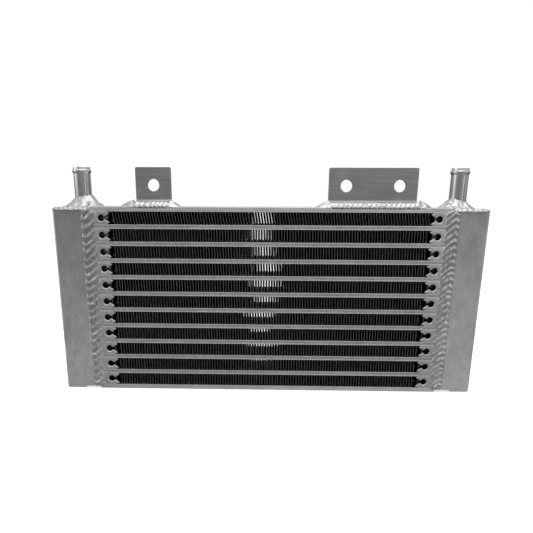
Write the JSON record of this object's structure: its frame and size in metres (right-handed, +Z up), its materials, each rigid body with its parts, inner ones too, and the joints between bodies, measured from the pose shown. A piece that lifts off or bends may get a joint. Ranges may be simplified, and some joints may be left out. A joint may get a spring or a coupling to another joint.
{
  "type": "hydraulic oil cooler",
  "caption": "Plate-and-bar hydraulic oil cooler: a finned core between two welded side tanks, with beaded hose stubs and bolt-on brackets along the top.",
  "frame": {"origin": "centre of the footprint, at the underside of the core and tanks", "axes": "+X along the core from the inlet tank to the outlet tank, +Y from the front face to the rear face, +Z up towards the stubs and brackets"},
  "size_m": [0.41, 0.0396, 0.217],
  "materials": {
    "black_fin": "aluminium strip with a black coating",
    "closing_bar": "extruded, dulled by the brazing furnace",
    "oil_bar": "extruded, dulled by the brazing furnace",
    "turbulator": "mill finish",
    "parting_sheet": "brazed clad sheet, cut edges showing",
    "side_plate": "mill finish",
    "tank_sheet": "brushed",
    "tank_cap": "mill finish",
    "stub_tube": "turned and drawn",
    "bracket_plate": "brushed",
    "weld_bead": "bright rippled weld"
  },
  "bodies": {
    "root": {"air_closing_bars_01": "closing_bar", "air_closing_bars_02": "closing_bar", "air_closing_bars_03": "closing_bar", "air_closing_bars_04": "closing_bar", "air_closing_bars_05": "closing_bar", "air_closing_bars_06": "closing_bar", "air_closing_bars_07": "closing_bar", "air_closing_bars_08": "closing_bar", "air_closing_bars_09": "closing_bar", "air_closing_bars_10": "closing_bar", "air_closing_bars_11": "closing_bar", "air_fin_01": "black_fin", "air_fin_02": "black_fin", "air_fin_03": "black_fin", "air_fin_04": "black_fin", "air_fin_05": "black_fin", "air_fin_06": "black_fin", "air_fin_07": "black_fin", "air_fin_08": "black_fin", "air_fin_09": "black_fin", "air_fin_10": "black_fin", "air_fin_11": "black_fin", "bottom_side_plate": "side_plate", "bracket_welds": "weld_bead", "inlet_stub": "stub_tube", "inlet_stub_weld": "weld_bead", "left_bracket": "bracket_plate", "left_seam_weld": "weld_bead", "left_tank": "tank_sheet", "left_tank_bottom_cap": "tank_cap", "left_tank_top_cap": "tank_cap", "oil_bars_01": "oil_bar", "oil_bars_02": "oil_bar", "oil_bars_03": "oil_bar", "oil_bars_04": "oil_bar", "oil_bars_05": "oil_bar", "oil_bars_06": "oil_bar", "oil_bars_07": "oil_bar", "oil_bars_08": "oil_bar", "oil_bars_09": "oil_bar", "oil_bars_10": "oil_bar", "oil_turbulator_01": "turbulator", "oil_turbulator_02": "turbulator", "oil_turbulator_03": "turbulator", "oil_turbulator_04": "turbulator", "oil_turbulator_05": "turbulator", "oil_turbulator_06": "turbulator", "oil_turbulator_07": "turbulator", "oil_turbulator_08": "turbulator", "oil_turbulator_09": "turbulator", "oil_turbulator_10": "turbulator", "outlet_stub": "stub_tube", "outlet_stub_weld": "weld_bead", "parting_sheets": "parting_sheet", "right_bracket": "bracket_plate", "right_seam_weld": "weld_bead", "right_tank": "tank_sheet", "right_tank_bottom_cap": "tank_cap", "right_tank_top_cap": "tank_cap", "top_side_plate": "side_plate"}
  },
  "joints": []
}
